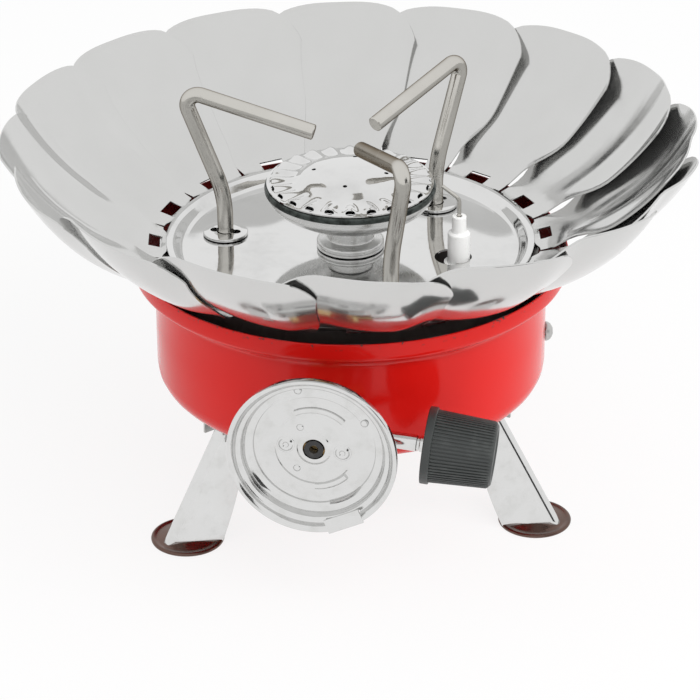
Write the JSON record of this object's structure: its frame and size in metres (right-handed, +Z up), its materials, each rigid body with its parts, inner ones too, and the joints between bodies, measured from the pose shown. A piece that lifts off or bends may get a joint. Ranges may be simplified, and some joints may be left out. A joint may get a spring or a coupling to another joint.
{
  "type": "gas stove",
  "caption": "Folding camping gas stove with a lapped petal windshield, central burner, swivelling pot supports, spark ignition, cartridge connector with knob, and folding legs",
  "frame": {"origin": "On the floor under the middle of the round body", "axes": "Z up; the cartridge connector faces -Y; the control knob is on the +X side"},
  "size_m": [0.2182, 0.2182, 0.1339],
  "materials": {
    "red_paint": "glossy red paint",
    "polished_steel": "polished stainless steel, near mirror",
    "steel": "satin steel",
    "blackened_steel": "dark oxidised steel",
    "brass": "machined brass",
    "white_ceramic": "smooth white ceramic",
    "black_rubber": "matt black rubber",
    "charcoal_plastic": "charcoal moulded plastic"
  },
  "bodies": {
    "base": {"body_shell": "red_paint", "burner_cap": "polished_steel", "burner_cup": "polished_steel", "burner_neck": "polished_steel", "burner_ring": "blackened_steel", "connector_back": "steel", "connector_plate": "polished_steel", "electrode_ceramic": "white_ceramic", "electrode_fork": "steel", "electrode_wire": "steel", "gas_jet": "brass", "gas_pipe": "brass", "hinge_drum": "steel", "jet_block": "brass", "leg_bracket_1": "steel", "leg_bracket_2": "steel", "leg_bracket_3": "steel", "leg_pin_1": "steel", "leg_pin_2": "steel", "leg_pin_3": "steel", "mixing_tube": "steel", "nozzle_seal": "black_rubber", "piezo_unit": "charcoal_plastic", "side_screw_1": "steel", "side_screw_2": "steel", "side_screw_3": "steel", "spark_lead": "black_rubber", "support_clip_1": "steel", "support_clip_2": "steel", "support_clip_3": "steel", "support_washer_1": "polished_steel", "support_washer_2": "polished_steel", "support_washer_3": "polished_steel", "top_plate": "polished_steel", "valve_body": "brass"},
    "windshield_01": {"petal_01": "polished_steel"},
    "windshield_02": {"petal_02": "polished_steel"},
    "windshield_03": {"petal_03": "polished_steel"},
    "windshield_04": {"petal_04": "polished_steel"},
    "windshield_05": {"petal_05": "polished_steel"},
    "windshield_06": {"petal_06": "polished_steel"},
    "windshield_07": {"petal_07": "polished_steel"},
    "windshield_08": {"petal_08": "polished_steel"},
    "windshield_09": {"petal_09": "polished_steel"},
    "windshield_10": {"petal_10": "polished_steel"},
    "windshield_11": {"petal_11": "polished_steel"},
    "windshield_12": {"petal_12": "polished_steel"},
    "windshield_13": {"petal_13": "polished_steel"},
    "windshield_14": {"petal_14": "polished_steel"},
    "windshield_15": {"petal_15": "polished_steel"},
    "windshield_16": {"petal_16": "polished_steel"},
    "support_1": {"pot_support_1": "steel"},
    "support_2": {"pot_support_2": "steel"},
    "support_3": {"pot_support_3": "steel"},
    "folding_leg_1": {"leg_1": "polished_steel"},
    "folding_leg_2": {"leg_2": "polished_steel"},
    "folding_leg_3": {"leg_3": "polished_steel"},
    "knob": {"valve_stem": "steel", "control_knob": "charcoal_plastic"},
    "button": {"igniter_button": "charcoal_plastic"}
  },
  "joints": [
    {"name": "petal_01_hinge", "type": "hinge", "parent": "base", "child": "windshield_01", "pos_m": [0.05906, 0.00212, 0.08465], "axis": [0.0359, -0.9994, 0], "range_deg": [0, 35]},
    {"name": "petal_02_hinge", "type": "hinge", "parent": "base", "child": "windshield_02", "pos_m": [0.05375, 0.02457, 0.08465], "axis": [0.4156, -0.9095, 0], "range_deg": [0, 35]},
    {"name": "petal_03_hinge", "type": "hinge", "parent": "base", "child": "windshield_03", "pos_m": [0.04026, 0.04326, 0.08465], "axis": [0.7321, -0.6812, 0], "range_deg": [0, 35]},
    {"name": "petal_04_hinge", "type": "hinge", "parent": "base", "child": "windshield_04", "pos_m": [0.02064, 0.05538, 0.08465], "axis": [0.937, -0.3492, 0], "range_deg": [0, 35]},
    {"name": "petal_05_hinge", "type": "hinge", "parent": "base", "child": "windshield_05", "pos_m": [-0.00212, 0.05906, 0.08465], "axis": [0.9994, 0.0359, 0], "range_deg": [0, 35]},
    {"name": "petal_06_hinge", "type": "hinge", "parent": "base", "child": "windshield_06", "pos_m": [-0.02457, 0.05375, 0.08465], "axis": [0.9095, 0.4156, 0], "range_deg": [0, 35]},
    {"name": "petal_07_hinge", "type": "hinge", "parent": "base", "child": "windshield_07", "pos_m": [-0.04326, 0.04026, 0.08465], "axis": [0.6812, 0.7321, 0], "range_deg": [0, 35]},
    {"name": "petal_08_hinge", "type": "hinge", "parent": "base", "child": "windshield_08", "pos_m": [-0.05538, 0.02064, 0.08465], "axis": [0.3492, 0.937, 0], "range_deg": [0, 35]},
    {"name": "petal_09_hinge", "type": "hinge", "parent": "base", "child": "windshield_09", "pos_m": [-0.05906, -0.00212, 0.08465], "axis": [-0.0359, 0.9994, 0], "range_deg": [0, 35]},
    {"name": "petal_10_hinge", "type": "hinge", "parent": "base", "child": "windshield_10", "pos_m": [-0.05375, -0.02457, 0.08465], "axis": [-0.4156, 0.9095, 0], "range_deg": [0, 35]},
    {"name": "petal_11_hinge", "type": "hinge", "parent": "base", "child": "windshield_11", "pos_m": [-0.04026, -0.04326, 0.08465], "axis": [-0.7321, 0.6812, 0], "range_deg": [0, 35]},
    {"name": "petal_12_hinge", "type": "hinge", "parent": "base", "child": "windshield_12", "pos_m": [-0.02064, -0.05538, 0.08465], "axis": [-0.937, 0.3492, 0], "range_deg": [0, 35]},
    {"name": "petal_13_hinge", "type": "hinge", "parent": "base", "child": "windshield_13", "pos_m": [0.00212, -0.05906, 0.08465], "axis": [-0.9994, -0.0359, 0], "range_deg": [0, 35]},
    {"name": "petal_14_hinge", "type": "hinge", "parent": "base", "child": "windshield_14", "pos_m": [0.02457, -0.05375, 0.08465], "axis": [-0.9095, -0.4156, 0], "range_deg": [0, 35]},
    {"name": "petal_15_hinge", "type": "hinge", "parent": "base", "child": "windshield_15", "pos_m": [0.04326, -0.04026, 0.08465], "axis": [-0.6812, -0.7321, 0], "range_deg": [0, 35]},
    {"name": "petal_16_hinge", "type": "hinge", "parent": "base", "child": "windshield_16", "pos_m": [0.05538, -0.02064, 0.08465], "axis": [-0.3492, -0.937, 0], "range_deg": [0, 35]},
    {"name": "support_1_swivel", "type": "hinge", "parent": "base", "child": "support_1", "pos_m": [-0.04002, 0.00894, 0.084], "axis": [0, 0, 1], "range_deg": [-100, 100]},
    {"name": "support_2_swivel", "type": "hinge", "parent": "base", "child": "support_2", "pos_m": [0.02775, 0.03018, 0.084], "axis": [0, 0, 1], "range_deg": [-100, 100]},
    {"name": "support_3_swivel", "type": "hinge", "parent": "base", "child": "support_3", "pos_m": [0.01226, -0.03913, 0.084], "axis": [0, 0, 1], "range_deg": [-100, 100]},
    {"name": "leg_1_fold", "type": "hinge", "parent": "base", "child": "folding_leg_1", "pos_m": [-0.03927, -0.03013, 0.034], "axis": [0.6088, -0.7934, 0], "range_deg": [0, 95]},
    {"name": "leg_2_fold", "type": "hinge", "parent": "base", "child": "folding_leg_2", "pos_m": [0.0441, -0.02247, 0.034], "axis": [0.454, 0.891, 0], "range_deg": [0, 95]},
    {"name": "leg_3_fold", "type": "hinge", "parent": "base", "child": "folding_leg_3", "pos_m": [-0.00603, 0.04913, 0.034], "axis": [-0.9925, -0.1219, 0], "range_deg": [0, 95]},
    {"name": "knob_turn", "type": "hinge", "parent": "base", "child": "knob", "pos_m": [0.02218, -0.07556, 0.05354], "axis": [0.9831, -0.1557, -0.0958], "range_deg": [0, 450]},
    {"name": "igniter_press", "type": "slide", "parent": "base", "child": "button", "axis": [-0.766, -0.6428, 0], "range_m": [0, 0.0045], "stiffness_N_per_m": 800, "springref_m": -0.002}
  ],
  "couplings": [
    {"joint": "petal_02_hinge", "follows": "petal_01_hinge", "ratio": 1},
    {"joint": "petal_03_hinge", "follows": "petal_01_hinge", "ratio": 1},
    {"joint": "petal_04_hinge", "follows": "petal_01_hinge", "ratio": 1},
    {"joint": "petal_05_hinge", "follows": "petal_01_hinge", "ratio": 1},
    {"joint": "petal_06_hinge", "follows": "petal_01_hinge", "ratio": 1},
    {"joint": "petal_07_hinge", "follows": "petal_01_hinge", "ratio": 1},
    {"joint": "petal_08_hinge", "follows": "petal_01_hinge", "ratio": 1},
    {"joint": "petal_09_hinge", "follows": "petal_01_hinge", "ratio": 1},
    {"joint": "petal_10_hinge", "follows": "petal_01_hinge", "ratio": 1},
    {"joint": "petal_11_hinge", "follows": "petal_01_hinge", "ratio": 1},
    {"joint": "petal_12_hinge", "follows": "petal_01_hinge", "ratio": 1},
    {"joint": "petal_13_hinge", "follows": "petal_01_hinge", "ratio": 1},
    {"joint": "petal_14_hinge", "follows": "petal_01_hinge", "ratio": 1},
    {"joint": "petal_15_hinge", "follows": "petal_01_hinge", "ratio": 1},
    {"joint": "petal_16_hinge", "follows": "petal_01_hinge", "ratio": 1}
  ]
}
